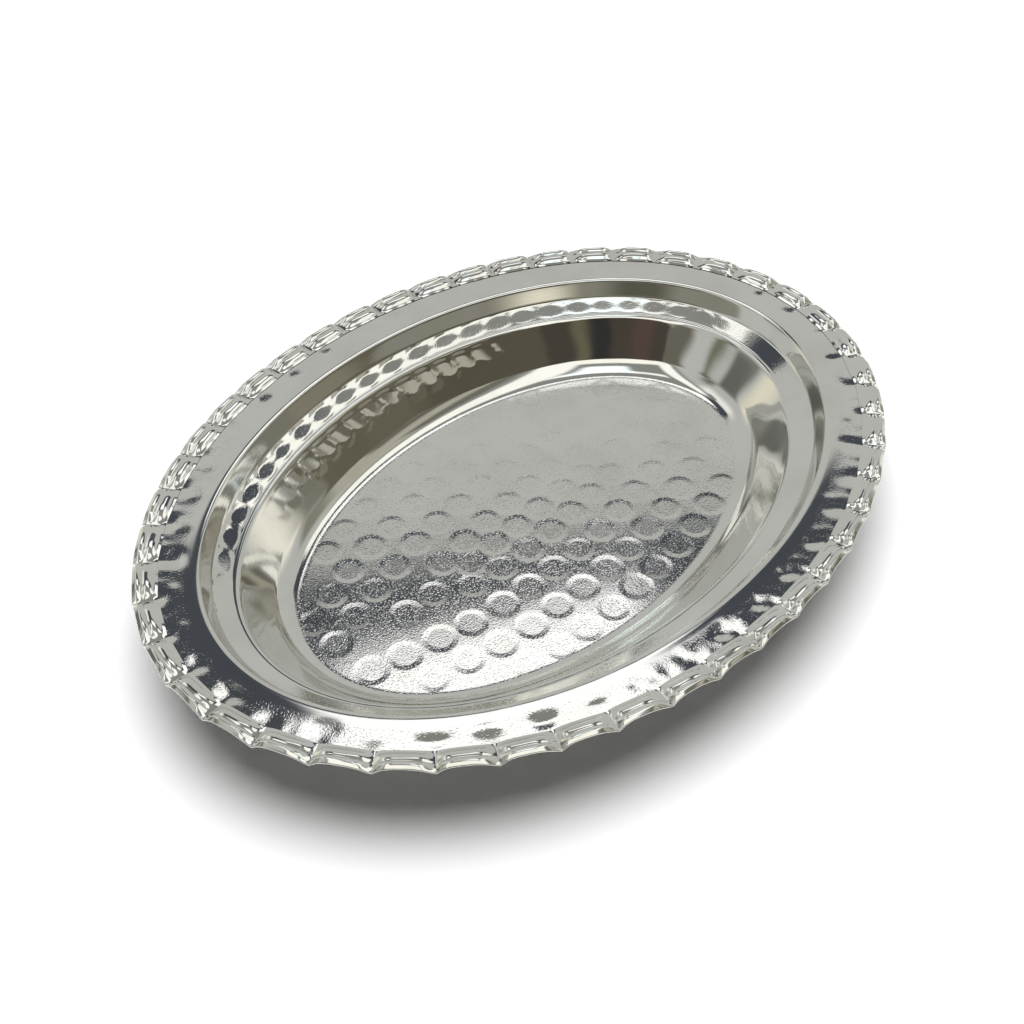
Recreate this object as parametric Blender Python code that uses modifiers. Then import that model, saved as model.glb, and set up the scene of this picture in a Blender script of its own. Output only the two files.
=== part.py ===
"""Oval hammered meze dish: a pressed sheet body and the fluted, double-reeded border on its rim.

Metres, +Z up. The origin is on the surface the dish stands on, under the middle of the oval.
Every line of the dish is an oval set in from the rim, so the profiles below are written as
an inset from the rim and a height above the top of the flange.
"""

import math

import bmesh
import bpy
import numpy as np

# The oval, measured over the border's lip
LENGTH = 0.2000
WIDTH = 0.1496

# The body's sheet and its profile, from the border inwards
SHEET = 0.0008
FLANGE_WIDTH = 0.0062
SHOULDER_WIDTH = 0.0027
SHOULDER_DROP = 0.0003
SHOULDER_POWER = 5
STEP_RUN = 0.0022
STEP_DROP = 0.0041
LEDGE_WIDTH = 0.0039
LEDGE_DROP = 0.0021
BEAD_WIDTH = 0.0020
BEAD_RISE = 0.0004
BEAD_DROP = 0.0010
WALL_RUN = 0.0069
WALL_DROP = 0.0086
FOOT_RUN = 0.0052
FOOT_DROP = 0.0030
BASE_MARGIN = 0.0030

# The border: a thin strip laid over the flange's edge, pressed into flutes and two reeds
BORDER_WIDTH = 0.0057
BORDER_LAP = 0.0025
BORDER_SHEET = 0.0005
BORDER_EDGE = 0.0003
SEAT_GAP = 0.0003
REED_SPACING = 0.0027
REED_HEIGHT = 0.0004
LIP_SETBACK = 0.0008
LIP_HEIGHT = 0.0020
FLUTE_COUNT = 45
FLUTE_RISE = 0.00125
FIRST_CUSP = -0.0007

# How finely the curves are divided
BODY_COLUMNS_PER_FLUTE = 2
BORDER_COLUMNS_PER_FLUTE = 6
BEAD_STEPS = 4
SHOULDER_STEPS = 4
FOOT_STEPS = 4
ARC_SAMPLES = 4000
WELD_DISTANCE = 0.000001
SMOOTH_ANGLE = math.radians(50)

# Heights that follow from the profile
WELL_DEPTH = SHOULDER_DROP + STEP_DROP + LEDGE_DROP + BEAD_DROP + WALL_DROP + FOOT_DROP
FLANGE_HEIGHT = SHEET + WELL_DEPTH


def clear_scene():
    """Remove every object, so that the dish is alone in the file."""
    for item in list(bpy.data.objects):
        bpy.data.objects.remove(item, do_unlink=True)


def rim_stations(count):
    """Directions square to the rim at places spaced evenly along it, starting at the first cusp."""
    turn = np.linspace(0.0, 2.0 * math.pi, ARC_SAMPLES + 1)
    x = 0.5 * LENGTH * np.cos(turn)
    y = 0.5 * WIDTH * np.sin(turn)
    along = np.concatenate(([0.0], np.cumsum(np.hypot(np.diff(x), np.diff(y)))))
    places = (FIRST_CUSP + along[-1] * np.arange(count) / count) % along[-1]
    place_turn = np.interp(places, along, turn)
    return np.arctan2(LENGTH * np.sin(place_turn), WIDTH * np.cos(place_turn))


def oval(stations, inset):
    """The oval set in from the rim, at its points that face the stations' directions."""
    half_x = 0.5 * LENGTH - inset
    half_y = 0.5 * WIDTH - inset
    reach = np.hypot(half_x * np.cos(stations), half_y * np.sin(stations))
    return half_x**2 * np.cos(stations) / reach, half_y**2 * np.sin(stations) / reach


def sweep(stations, section):
    """Carry a section of (inset, heights) rows round the oval, and weld it where it meets itself.

    The section is laid on a grid whose columns are the stations, with the first one repeated
    at the end, and whose rows are the section's points.
    """
    columns = len(stations)
    rows = len(section) - 1
    places = []
    for inset, heights in section:
        x, y = oval(stations, inset)
        places.append(np.column_stack((x, y, np.broadcast_to(heights, columns))))
    mesh = bmesh.new()
    grid = bmesh.ops.create_grid(mesh, x_segments=columns, y_segments=rows, size=0.5)["verts"]
    for point in grid:
        column = round((point.co.x + 0.5) * columns) % columns
        row = round((point.co.y + 0.5) * rows)
        point.co = places[row][column]
    bmesh.ops.remove_doubles(mesh, verts=mesh.verts, dist=WELD_DISTANCE)
    return mesh


def bead(inset, height, width, rise, drop):
    """A half-round bead: a sine bump on the straight line from its outer to its inner edge."""
    points = []
    for step in range(1, BEAD_STEPS + 1):
        share = step / BEAD_STEPS
        bump = rise * math.sin(math.pi * share)
        points.append((inset + width * share, height - drop * share + bump))
    return points


def shoulder(inset, height):
    """The shoulder where the flange turns down: its fall grows as a power of its run."""
    points = []
    for step in range(1, SHOULDER_STEPS + 1):
        share = step / SHOULDER_STEPS
        points.append((inset + SHOULDER_WIDTH * share, height - SHOULDER_DROP * share**SHOULDER_POWER))
    return points


def hollow_foot(inset, height):
    """The hollow curve at the wall's foot, a parabola that flattens towards the base."""
    points = []
    for step in range(1, FOOT_STEPS + 1):
        share = step / FOOT_STEPS
        points.append((inset + FOOT_RUN * share, height - FOOT_DROP * (1.0 - (1.0 - share) ** 2)))
    return points


def body_profile():
    """Top of the body's sheet from the flange's edge to the base, as (inset, height)."""
    profile = [(BORDER_WIDTH - BORDER_LAP, 0.0), (BORDER_WIDTH + FLANGE_WIDTH, 0.0)]
    profile += shoulder(*profile[-1])
    inset, height = profile[-1]
    profile.append((inset + STEP_RUN, height - STEP_DROP))
    inset, height = profile[-1]
    profile.append((inset + LEDGE_WIDTH, height - LEDGE_DROP))
    profile += bead(*profile[-1], BEAD_WIDTH, BEAD_RISE, BEAD_DROP)
    inset, height = profile[-1]
    profile.append((inset + WALL_RUN, height - WALL_DROP))
    profile += hollow_foot(*profile[-1])
    inset, height = profile[-1]
    profile.append((inset + BASE_MARGIN, height))
    return profile


def border_section():
    """The border's closed section, as (inset, height at a cusp, share of the flute's rise)."""
    groove = SEAT_GAP + BORDER_SHEET
    crest = groove + REED_HEIGHT
    inner_reed = LIP_SETBACK + REED_SPACING
    slope = 0.5 * (inner_reed + BORDER_WIDTH)
    slope_height = 0.5 * (crest + SEAT_GAP + BORDER_EDGE)
    lip_end = crest - LIP_HEIGHT
    lip_face = crest - 0.5 * LIP_SETBACK
    middle = LIP_SETBACK + 0.5 * REED_SPACING
    return [
        (BORDER_WIDTH, SEAT_GAP + BORDER_EDGE, 0.0),
        (slope, slope_height, 0.5),
        (inner_reed, crest, 1.0),
        (middle, groove, 1.0),
        (LIP_SETBACK, crest, 1.0),
        (0.0, lip_face, 1.0),
        (0.0, lip_end, 1.0),
        (BORDER_SHEET, lip_end, 1.0),
        (BORDER_SHEET, lip_face - BORDER_SHEET, 1.0),
        (middle, SEAT_GAP, 1.0),
        (inner_reed, crest - BORDER_SHEET, 1.0),
        (slope, SEAT_GAP, 0.5),
        (BORDER_WIDTH, SEAT_GAP, 0.0),
    ]


def silver_material(name, colour, roughness):
    """A bright metal with the given colour and roughness."""
    material = bpy.data.materials.new(name)
    material.use_nodes = True
    shader = material.node_tree.nodes["Principled BSDF"]
    shader.inputs["Base Color"].default_value = (*colour, 1.0)
    shader.inputs["Metallic"].default_value = 1.0
    shader.inputs["Roughness"].default_value = roughness
    return material


def place_object(name, mesh, material, collection):
    """Turn the finished mesh into a named object whose zero height is the top of the flange."""
    data = bpy.data.meshes.new(name)
    mesh.to_mesh(data)
    mesh.free()
    data.shade_smooth()
    data.set_sharp_from_angle(angle=SMOOTH_ANGLE)
    data.materials.append(material)
    item = bpy.data.objects.new(name, data)
    item.location.z = FLANGE_HEIGHT
    collection.objects.link(item)
    return item


def make_dish_body(collection):
    """The pressed sheet: flange, shoulder, step, ledge, bead, wall, foot and flat base."""
    stations = rim_stations(FLUTE_COUNT * BODY_COLUMNS_PER_FLUTE)
    mesh = sweep(stations, body_profile())
    base_edge = [
        edge
        for edge in mesh.edges
        if edge.is_boundary and edge.verts[0].co.z < -0.5 * WELL_DEPTH
    ]
    base = bmesh.ops.contextual_create(mesh, geom=base_edge)["faces"][0]
    bmesh.ops.recalc_face_normals(mesh, faces=mesh.faces)
    if base.normal.z < 0.0:
        bmesh.ops.reverse_faces(mesh, faces=mesh.faces)
    material = silver_material("hammered_silver", (0.72, 0.72, 0.69), 0.16)
    body = place_object("dish_body", mesh, material, collection)
    sheet = body.modifiers.new("sheet", "SOLIDIFY")
    sheet.thickness = SHEET
    sheet.offset = -1.0
    sheet.use_even_offset = True
    return body


def make_rim_border(collection):
    """The applied border: arched flutes that meet in cusps, carrying two reeds and a turned lip."""
    stations = rim_stations(FLUTE_COUNT * BORDER_COLUMNS_PER_FLUTE)
    place_in_flute = np.arange(len(stations)) % BORDER_COLUMNS_PER_FLUTE / BORDER_COLUMNS_PER_FLUTE
    arch = FLUTE_RISE * np.sin(math.pi * place_in_flute)
    section = [(inset, height + share * arch) for inset, height, share in border_section()]
    mesh = sweep(stations, section + section[:1])
    bmesh.ops.recalc_face_normals(mesh, faces=mesh.faces)
    material = silver_material("bright_border_silver", (0.74, 0.74, 0.70), 0.12)
    return place_object("rim_border", mesh, material, collection)


def main():
    """Build the dish in a collection of its own."""
    clear_scene()
    collection = bpy.data.collections.new("meze_dish")
    bpy.context.scene.collection.children.link(collection)
    make_dish_body(collection)
    make_rim_border(collection)


main()
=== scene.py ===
"""Looks of the oval hammered meze dish, laid out as an add-on: the sheet, its border and the studio."""

import math
from types import SimpleNamespace
from typing import NamedTuple

import bpy
import numpy as np
from bpy.props import FloatProperty, FloatVectorProperty, IntProperty, PointerProperty
from mathutils import Matrix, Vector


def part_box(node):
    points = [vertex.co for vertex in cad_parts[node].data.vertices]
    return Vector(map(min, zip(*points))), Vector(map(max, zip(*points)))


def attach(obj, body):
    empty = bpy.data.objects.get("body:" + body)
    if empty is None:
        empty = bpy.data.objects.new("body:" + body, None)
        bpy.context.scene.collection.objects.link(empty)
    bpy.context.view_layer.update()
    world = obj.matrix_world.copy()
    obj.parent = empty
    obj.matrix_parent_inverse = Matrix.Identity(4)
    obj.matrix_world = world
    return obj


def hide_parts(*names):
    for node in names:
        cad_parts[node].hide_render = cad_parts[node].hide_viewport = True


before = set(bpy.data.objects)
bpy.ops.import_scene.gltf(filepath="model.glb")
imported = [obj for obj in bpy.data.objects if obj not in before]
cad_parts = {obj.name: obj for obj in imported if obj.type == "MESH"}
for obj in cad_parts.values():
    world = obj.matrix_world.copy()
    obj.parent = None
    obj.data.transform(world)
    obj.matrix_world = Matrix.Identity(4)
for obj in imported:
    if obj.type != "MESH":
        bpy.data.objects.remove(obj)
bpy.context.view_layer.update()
RIM_HALF_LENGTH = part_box("rim_border")[1].x
RIM_HALF_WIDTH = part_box("rim_border")[1].y

bl_info = {
    "name": "Hammered Meze Dish",
    "version": (1, 0, 0),
    "blender": (4, 5, 0),
    "location": "View3D > Sidebar > Meze Dish",
    "description": "Builds an oval hammered meze dish with a fluted border, and a studio around it",
    "category": "Add Mesh",
}

# How finely the surfaces are divided
ARC_SAMPLES = 8000
PROFILE_SAMPLES = 6000
BODY_COLUMNS_PER_FLUTE = 12
BODY_PROFILE_ROWS = 82
BODY_BASE_ROWS = 78
BODY_UNDERSIDE_ROWS = 24
BORDER_COLUMNS_PER_FLUTE = 24
BORDER_CREST_ROWS = 40
BORDER_LIP_ROWS = 9
BORDER_UNDERSIDE_ROWS = 8
SMOOTH_ANGLE = math.radians(40.0)

# Powers of the shoulder's fall, the foot's hollow, the flutes' arches and the arches' growth
SHOULDER_POWER = 5.0
FOOT_POWER = 1.7
SOFT_FLUTE_POWER = 2.3
POINTED_FLUTE_POWER = 3.0
EDGE_POWER = 2.2
ARCH_GROWTH_POWER = 1.25

# How far a flute's top lies towards its start
FLUTE_SKEW = 0.35

# Shares of the border's section: its edge at the foot, and how round and where its reeds and groove are
FOOT_THICKNESS = 0.3
REED_ROUNDING = 0.25
INNER_REED_FULLNESS = 0.8
OUTER_REED_FULLNESS = 0.45
INNER_REED_START = 0.12
REED_GROOVE_PLACE = 0.62
OUTER_REED_PLACE = 0.82

# Where the outer reed starts to fall away to the lip, how steeply, and how softly it turns
FALL_PLACE = 0.86
FALL_SLOPE = 0.55
FALL_ROUNDING = 0.00015

# How soon the reeds and the fall reach their full size away from a cusp
REED_GROWTH = 1.5
FALL_GROWTH = 1.3

# How much closer together the border's columns are at the cusps
CUSP_CROWDING = 0.85

# How far the lip leans in, and how far before and below the foot the underside ends, in metres
LIP_LEAN = 0.0004
FOOT_UNDERCUT = 0.0006
FOOT_SINK = 0.0001

# Stretches of the rim, in degrees: where a window starts, is full, fades and ends
FLAT_FLUTES = (-165.0, -145.0, -112.0, -95.0)
FRONT_OF_FLANGE = (-165.0, -150.0, -112.0, -104.0)
RIGHT_OF_FLANGE = (-112.0, -104.0, -80.0, -60.0)
BACK_OF_LEDGE = (65.0, 90.0, 150.0, 172.0)
RIGHT_OF_LEDGE = (-10.0, 15.0, 65.0, 90.0)
BACK_OF_WALL = (56.0, 88.0, 106.0, 122.0)


def length(name, description, default):
    """A length in metres that a user can change."""
    kind = {"unit": "LENGTH", "subtype": "DISTANCE", "precision": 5}
    return FloatProperty(name=name, description=description, default=default, **kind)


def angle(name, description, degrees):
    """An angle that a user can change, written here in degrees."""
    default = math.radians(degrees)
    return FloatProperty(name=name, description=description, default=default, subtype="ANGLE")


def share(name, description, default):
    """A share between nothing and all."""
    kind = {"min": 0.0, "max": 1.0, "subtype": "FACTOR"}
    return FloatProperty(name=name, description=description, default=default, **kind)


def colour(name, description, default):
    """A linear colour that a user can change."""
    kind = {"size": 3, "min": 0.0, "max": 4.0, "subtype": "COLOR"}
    return FloatVectorProperty(name=name, description=description, default=default, **kind)


class MezeSheetSizes(bpy.types.PropertyGroup):
    """The pressed sheet's profile, from the border inwards."""

    sheet: length("Sheet", "Thickness of the metal sheet", 0.0008)
    lap: length("Border Lap", "How far the border lies over the flange's edge", 0.0025)
    flange_width: length("Flange Width", "Flat run between border and shoulder", 0.0062)
    shoulder_width: length("Shoulder Width", "Width of the shoulder where the flange turns down", 0.0027)
    shoulder_drop: length("Shoulder Drop", "How far the shoulder falls", 0.0003)
    step_run: length("Step Run", "How far the step leans inwards", 0.0022)
    step_drop: length("Step Drop", "How far the step goes down", 0.0041)
    ledge_width: length("Ledge Width", "Width of the hammered ledge", 0.0043)
    ledge_drop: length("Ledge Drop", "How far the ledge slopes down", 0.0023)
    bead_width: length("Bead Width", "Width of the bead above the wall", 0.0016)
    bead_rise: length("Bead Rise", "Height of the bead above the wall", 0.00032)
    bead_drop: length("Bead Drop", "How far the bead slopes down", 0.0008)
    wall_run: length("Wall Run", "How far the wall leans inwards", 0.0069)
    wall_drop: length("Wall Drop", "How far the wall goes down", 0.0086)
    foot_run: length("Foot Run", "Width of the hollow at the wall's foot", 0.0052)
    foot_drop: length("Foot Drop", "Depth of the hollow at the wall's foot", 0.0030)
    corner: length("Corner Rounding", "Run over which the pressed corners are rounded", 0.0006)


class MezeBorderSizes(bpy.types.PropertyGroup):
    """The border strip: flutes along the rim and two reeds across it."""

    width: length("Width", "Mean width of the border, from rim to foot", 0.0056)
    scallop: length("Scallop", "How far the foot reaches inwards from cusp to mid-flute", 0.0004)
    edge_scallop: length("Edge Scallop", "How far the cusps stand out from the edge", 0.0004)
    dip: length("Cusp Dip", "How far the strip falls towards its edge at the cusps", 0.00035)
    gap: length("Seat Gap", "Solder between flange and border", 0.0003)
    metal: length("Strip Thickness", "Thickness of the border strip", 0.0005)
    reed_height: length("Reed Height", "Height of the reeds above their groove", 0.00030)
    lip_setback: length("Lip Setback", "Width of the bend from the outer reed to the lip", 0.00014)
    lip_height: length("Lip Height", "Height of the turned-down lip below the reed", 0.00115)
    flutes: IntProperty(name="Flutes", description="Number of flutes round the rim", default=45)
    flute_rise: length("Flute Rise", "Height of the flutes' arches above their cusps", 0.0013)
    edge_rise: length("Edge Rise", "Height of the lip's edge between cusps above the cusps", 0.0017)
    flange_rise: length("Flange Flute Rise", "Height of the flutes on the flange", 0.00035)
    first_cusp: length("First Cusp", "Place of the first cusp along the rim", -0.0007)


class MezeHammerMarks(bpy.types.PropertyGroup):
    """The hammer's dents on the base, the ledge and the wall."""

    pitch: length("Pitch", "Distance between dents along a row", 0.0085)
    radius: length("Radius", "Radius of a dent on the base", 0.0041)
    slope: angle("Edge Slope", "Slope of the metal towards a dent's edge", 1.0)
    rim_depth: length("Rim Depth", "Height of the crisp rim round a dent", 0.000034)
    bow: length("Row Bow", "Radius of the bow that the rows are struck along", 0.165)
    lean: FloatProperty(name="Row Lean", description="Slope of the rows to the length", default=0.03)
    ledge_count: IntProperty(name="Ledge Dents", description="Dents along the ledge", default=57)
    ledge_depth: length("Ledge Depth", "How far the ledge's dents tilt, from edge to edge", 0.00047)
    wall_count: IntProperty(name="Wall Facets", description="Facets under the bead", default=74)
    wall_depth: length("Wall Depth", "How far the facets under the bead tilt, from end to end", 0.001)
    flange_depth: length("Flange Depth", "Depth of the shallow dents on the flange", 0.00015)
    wave_height: length("Wave Height", "Height of the slow waves on the wall", 0.00004)


class MezeFinish(bpy.types.PropertyGroup):
    """The silver-coloured metal's finish."""

    silver: colour("Silver", "Colour of the polished metal", (0.78, 0.78, 0.757))
    tarnish: colour("Tarnish", "Colour of the faint tarnish in the hollows", (0.64, 0.625, 0.58))
    # The underside colour is darker partly for duller unpolished metal and partly as painted shade,
    # which keeps the shadow under the dish dark
    underside: colour("Underside", "Colour of the duller metal underneath", (0.40, 0.395, 0.375))
    polish: share("Polished Roughness", "Roughness of the polished flange, wall and border", 0.05)
    hammered: share("Hammered Roughness", "Roughness of the hammered base and ledge", 0.045)


class MezeStudio(bpy.types.PropertyGroup):
    """The floor, the light and the camera."""

    floor_size: length("Floor Size", "Side of the square floor", 1.1)
    floor: colour("Floor", "Colour of the floor", (0.97, 0.97, 0.97))
    room: colour("Room", "Soft light from all round", (0.085, 0.085, 0.085))
    tent: colour("Tent", "Grey of the tent's cloth, which the metal reflects", (0.564, 0.572, 0.546))
    tent_radius: length("Tent Radius", "Distance of the light tent from the dish", 0.6)
    softbox_size: length("Softbox Size", "Width of the lamp that lights the floor", 1.2)
    softbox_distance: length("Softbox Distance", "Distance of that lamp from the dish", 1.2)
    softbox_elevation: angle("Softbox Elevation", "Angle of that lamp above the floor", 85.0)
    softbox_power: FloatProperty(
        name="Softbox Power",
        description="Power of that lamp",
        default=20.0,
        min=0.0,
        subtype="POWER",
        unit="POWER",
    )
    camera_place: FloatVectorProperty(
        name="Camera Place",
        description="Where the camera stands",
        default=(-0.16936, -0.15650, 0.22725),
        size=3,
        unit="LENGTH",
        subtype="TRANSLATION",
    )
    camera_azimuth: angle("Camera Azimuth", "Direction the camera looks from, round the dish", -46.196)
    camera_elevation: angle("Camera Elevation", "Angle the camera looks down at", 44.261)
    camera_roll: angle("Camera Roll", "Turn of the camera about its own axis", -0.4575)
    lens: FloatProperty(
        name="Lens",
        description="Focal length on a 36 mm sensor, in millimetres",
        default=45.953,
        unit="CAMERA",
    )


class MezeDish(bpy.types.PropertyGroup):
    """Everything that can be changed on the dish and round it."""

    sheet: PointerProperty(type=MezeSheetSizes)
    border: PointerProperty(type=MezeBorderSizes)
    marks: PointerProperty(type=MezeHammerMarks)
    finish: PointerProperty(type=MezeFinish)
    studio: PointerProperty(type=MezeStudio)


# Places on the oval


def rim_stations(shares, start):
    """Directions square to the rim at the given shares of its length, counted from the start.

    The rim's length is summed over short chords, and the turn at each place is read back
    from that sum. The direction is the ellipse's own normal there.
    """
    turn = np.linspace(0.0, 2.0 * math.pi, ARC_SAMPLES + 1)
    x = RIM_HALF_LENGTH * np.cos(turn)
    y = RIM_HALF_WIDTH * np.sin(turn)
    along = np.concatenate(([0.0], np.cumsum(np.hypot(np.diff(x), np.diff(y)))))
    places = (start + along[-1] * shares) % along[-1]
    place_turn = np.interp(places, along, turn)
    return np.arctan2(RIM_HALF_LENGTH * np.sin(place_turn), RIM_HALF_WIDTH * np.cos(place_turn))


def oval(stations, inset):
    """The oval set in from the rim: the point of each ellipse that faces the station's direction.

    With half axes a and b, that point is (a a cos, b b sin) over the root of (a cos)² + (b sin)².
    """
    half_x = RIM_HALF_LENGTH - inset
    half_y = RIM_HALF_WIDTH - inset
    reach = np.hypot(half_x * np.cos(stations), half_y * np.sin(stations))
    return half_x**2 * np.cos(stations) / reach, half_y**2 * np.sin(stations) / reach


def smooth_step(low, high, value):
    """A soft ramp from 0 at low to 1 at high: 3 t² - 2 t³."""
    t = np.clip((value - low) / (high - low), 0.0, 1.0)
    return t * t * (3.0 - 2.0 * t)


def scatter(numbers, seed):
    """Repeatable scatter between -1 and 1: the fraction of a large sine of the numbers."""
    raw = np.sin(np.asarray(numbers, float) * 12.9898 + seed * 78.233) * 43758.5453
    return 2.0 * (raw - np.floor(raw)) - 1.0


# The sheet's profile


def sheet_profile(sizes, border_width):
    """Inset and height of the sheet's top, from under the border to the base's edge, finely sampled.

    Straight runs joined by a shoulder, whose fall grows as a power of its run s, a half-sine bead
    and a hollow foot, whose fall is 1 - (1 - s) to a power. The profile is sampled at
    equal lengths and averaged over the corner rounding, so pressed corners have a small radius.
    """
    samples = 40
    sweep = np.linspace(0.0, 1.0, samples)[1:]
    inset = [np.array([border_width - sizes.lap, border_width + sizes.flange_width])]
    height = [np.zeros(2)]

    def carry_on(runs, drops):
        inset.append(inset[-1][-1] + np.atleast_1d(runs))
        height.append(height[-1][-1] - np.atleast_1d(drops))

    carry_on(sizes.shoulder_width * sweep, sizes.shoulder_drop * sweep**SHOULDER_POWER)
    carry_on(sizes.step_run, sizes.step_drop)
    carry_on(sizes.ledge_width, sizes.ledge_drop)
    bump = sizes.bead_rise * np.sin(math.pi * sweep)
    carry_on(sizes.bead_width * sweep, sizes.bead_drop * sweep - bump)
    carry_on(sizes.wall_run, sizes.wall_drop)
    carry_on(sizes.foot_run * sweep, sizes.foot_drop * (1.0 - (1.0 - sweep) ** FOOT_POWER))
    inset = np.concatenate(inset)
    height = np.concatenate(height)
    along = np.concatenate(([0.0], np.cumsum(np.hypot(np.diff(inset), np.diff(height)))))
    even = np.linspace(0.0, along[-1], PROFILE_SAMPLES)
    reach = int(0.5 * sizes.corner / along[-1] * PROFILE_SAMPLES)
    window = np.ones(2 * reach + 1) / (2 * reach + 1)
    rounded = []
    for values in (inset, height):
        line = np.interp(even, along, values)
        before = 2.0 * line[0] - line[reach:0:-1]
        after = 2.0 * line[-1] - line[-2 : -reach - 2 : -1]
        rounded.append(np.convolve(np.concatenate((before, line, after)), window, "valid"))
    return rounded[0], rounded[1]


def flange_height(sheet):
    """Height of the flange's top above the floor: the sheet and every drop of the profile."""
    drops = sheet.shoulder_drop + sheet.step_drop + sheet.ledge_drop
    return sheet.sheet + drops + sheet.bead_drop + sheet.wall_drop + sheet.foot_drop


def pick_rows(inset, height, count, busy):
    """Row places along a profile, closer together where it bends and in the busy stretch of insets.

    Each place counts its length and its turn, so that a millimetre weighs as much as ten degrees,
    and its length counts three times in the busy stretch. The heading of each row comes with it.
    """
    millimetre, ten_degrees = 0.001, math.radians(10.0)
    heading = np.unwrap(np.arctan2(np.gradient(height), np.gradient(inset)))
    lengths = np.hypot(np.diff(inset), np.diff(height)) / millimetre
    is_busy = (inset[1:] > busy[0]) & (inset[1:] < busy[1])
    steps = lengths * (1.0 + 2.0 * is_busy) + np.abs(np.diff(heading)) / ten_degrees
    weight = np.concatenate(([0.0], np.cumsum(steps)))
    places = np.interp(np.linspace(0.0, weight[-1], count), weight, np.arange(len(inset)))
    order = np.arange(len(inset))
    return [np.interp(places, order, values) for values in (inset, height, heading)]


# Hammer marks


def base_dents(marks, edge_x, edge_y):
    """Centres and radii of the base's dents.

    They stand in columns one pitch apart and in bowed rows on both sides of the long middle line.
    Where the two inmost rows meet, one dent on the middle line takes their place, and a staggered
    row fills the middle. Each dent is scattered a little in place and size, and none lies past the
    base's edge.
    """
    first, spacing, rows, columns, fillers = 0.86, 1.06, 4, 8, 3
    stray, size_scatter, end = 0.00035, 0.05, 0.97
    column = np.arange(-columns, columns + 1) * marks.pitch
    across = marks.pitch * (first + spacing * np.arange(rows))
    x, y = np.meshgrid(column, across)
    y = y - x**2 / (2.0 * marks.bow)
    x, y = x.ravel(), y.ravel()
    meeting, least = 0.58 * marks.pitch, 0.1 * marks.pitch
    apart = y >= meeting
    joined = (y < meeting) & (y > least)
    between = (np.arange(-fillers, fillers) + 0.5) * marks.pitch
    all_x = np.concatenate((x[apart], x[apart], x[joined], between))
    all_y = np.concatenate((y[apart], -y[apart], 0.0 * x[joined], 0.0 * between))
    all_y = all_y + marks.lean * all_x
    order = np.arange(len(all_x))
    all_x = all_x + stray * scatter(order, 1)
    all_y = all_y + stray * scatter(order, 2)
    radius = marks.radius * (1.0 + size_scatter * scatter(order, 3))
    kept = np.hypot(all_x / edge_x, all_y / edge_y) < end
    return all_x[kept], all_y[kept], radius[kept]


def dent_depth(x, y, marks, dents):
    """How deep the hammer went at each place of the base.

    In a dent the slope grows from the middle to the edge as a mix of r and r⁵, so the floor is
    nearly flat. Where dents meet, the deeper one counts.
    """
    centre_x, centre_y, radius = dents
    distance = np.hypot(x[..., None] - centre_x, y[..., None] - centre_y) / radius
    t = np.clip(distance, 0.0, 1.0)
    round_share, flat_share = 0.35, 0.65
    bowl = round_share * (1.0 - t**2) / 2.0 + flat_share * (1.0 - t**6) / 6.0
    return np.max(math.tan(marks.slope) * radius * bowl, axis=-1)


def nearest_dents(x, y, dents):
    """Centre and radius of the dent that each place belongs to: the one with the least r over radius."""
    centre_x, centre_y, radius = dents
    nearest = np.argmin(np.hypot(x[:, None] - centre_x, y[:, None] - centre_y) / radius, axis=1)
    return centre_x[nearest], centre_y[nearest], radius[nearest]


def stretch(stations, window):
    """A window on part of the rim: it grows from start to full and falls from fade to end."""
    start, full, fade, end = np.radians(window)
    return smooth_step(start, full, stations) * (1.0 - smooth_step(fade, end, stations))


def flute_place(along):
    """Distance from a flute's top, which is 0 there and 1 at the cusps.

    With f from 0 to 1 along the flute, f + skew f (1 - f) moves the top towards its start.
    """
    f = along - np.floor(along)
    return np.abs(2.0 * (f + FLUTE_SKEW * f * (1.0 - f)) - 1.0)


def pointed_arch(along, power):
    """Height of arches that meet in pointed cusps, from 0 to 1: 1 less the flute place to a power."""
    return 1.0 - flute_place(along) ** power


def flute_arch(along):
    """Height of the flutes' arches, from 0 to 1.

    It is midway between a pointed arch and half a cosine of the flute place to a power.
    """
    soft = 0.5 + 0.5 * np.cos(math.pi * flute_place(along) ** SOFT_FLUTE_POWER)
    return 0.5 * (soft + pointed_arch(along, POINTED_FLUTE_POWER))


def flange_flutes(border, sheet, stations, turn, inset):
    """Height of the flutes that run on from the border into the flange and fade inwards.

    Each is a long arch and, weaker, two that are half as long. They are beaten flat in front.
    """
    long_share, short_share, short_start = 0.75, 0.25, 0.15
    flattening = 0.75
    flutes = border.flutes * turn
    ripple = long_share * pointed_arch(flutes, EDGE_POWER)
    ripple = ripple + short_share * pointed_arch(2.0 * flutes + short_start, EDGE_POWER)
    start = border.width - 0.5 * sheet.lap
    end = border.width + 0.8 * sheet.flange_width
    flattened = 1.0 - flattening * stretch(stations, FLAT_FLUTES)
    return border.flange_rise * flattened * (1.0 - smooth_step(start, end, inset)) * ripple


def row_of_dents(along, across, count, fill, width, edge):
    """A row of flat-floored oval dents round the dish, and the place along each of them.

    A dent is 1 on its floor and 0 outside. Along is the turn round the rim from 0 to 1, and across
    the distance from the row's line. A dent's side is a soft ramp of r, which is 1 on the oval's
    outline and edge where the floor starts. Fill is its half length as a share of the spacing.
    """
    stray, size_scatter = 0.05, 0.07
    number = np.floor(along * count)
    offset = along * count - number - 0.5 + stray * scatter(number, 4)
    size = 1.0 + size_scatter * scatter(number, 5)
    reach = np.hypot(offset / (fill * size), across / (0.5 * width * size))
    return 1.0 - smooth_step(edge, 1.0, reach), offset


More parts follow.
